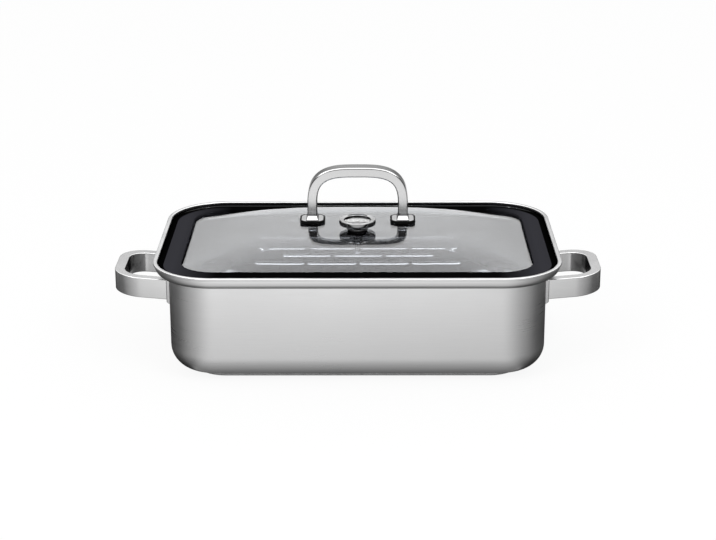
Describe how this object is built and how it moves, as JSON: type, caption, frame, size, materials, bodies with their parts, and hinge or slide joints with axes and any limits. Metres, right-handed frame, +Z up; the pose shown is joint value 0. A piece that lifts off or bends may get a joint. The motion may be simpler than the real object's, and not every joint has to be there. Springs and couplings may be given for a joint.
{
  "type": "roasting pan",
  "caption": "Rectangular steel roasting and steaming pan with loop handles, a slotted loose insert and a domed glass lid with silicone rim, bow handle and dial thermometer.",
  "frame": {"origin": "under the middle of the base, on the surface that the pan stands on", "axes": "+X along the pan from handle to handle, +Y to the rear, +Z up; the front with the thermometer faces -Y"},
  "size_m": [0.452, 0.242, 0.174],
  "materials": {
    "satin_steel": "satin, brushed along the sides",
    "handle_steel": "fine satin",
    "insert_steel": "bright rolled sheet",
    "polished_steel": "polished",
    "core_aluminium": "plain",
    "black_silicone": "matt",
    "lid_glass": "clear, tempered",
    "lens_glass": "clear",
    "dial_face": "matt, printed scale",
    "pointer_black": "matt",
    "bimetal": "plain"
  },
  "bodies": {
    "pan": {"pan_body": "satin_steel", "base_core": "core_aluminium", "base_cap": "satin_steel", "left_bracket": "satin_steel", "right_bracket": "satin_steel", "left_handle": "handle_steel", "right_handle": "handle_steel"},
    "insert": {"steam_insert": "insert_steel"},
    "lid": {"lid_glass": "lid_glass", "lid_seal": "black_silicone", "lid_handle": "handle_steel", "left_foot_plate": "polished_steel", "right_foot_plate": "polished_steel", "left_foot_gasket": "black_silicone", "right_foot_gasket": "black_silicone", "left_under_gasket": "black_silicone", "right_under_gasket": "black_silicone", "left_washer": "polished_steel", "right_washer": "polished_steel", "left_screw": "polished_steel", "right_screw": "polished_steel", "thermo_neck": "black_silicone", "thermo_case": "polished_steel", "thermo_bezel": "polished_steel", "thermo_lens": "lens_glass", "thermo_dial": "dial_face", "thermo_stem": "polished_steel", "thermo_coil": "bimetal", "thermo_under_gasket": "black_silicone", "thermo_nut": "polished_steel"},
    "pointer": {"thermo_pointer": "pointer_black", "thermo_shaft": "polished_steel"}
  },
  "joints": [
    {"name": "insert_lift", "type": "slide", "parent": "pan", "child": "insert", "axis": [0, 0, 1], "range_m": [0, 0.15]},
    {"name": "lid_lift", "type": "slide", "parent": "insert", "child": "lid", "axis": [0, 0, 1], "range_m": [0, 0.2]},
    {"name": "pointer_turn", "type": "hinge", "parent": "lid", "child": "pointer", "pos_m": [0, -0.028, 0.128], "axis": [0, 0, -1], "range_deg": [0, 270]}
  ]
}
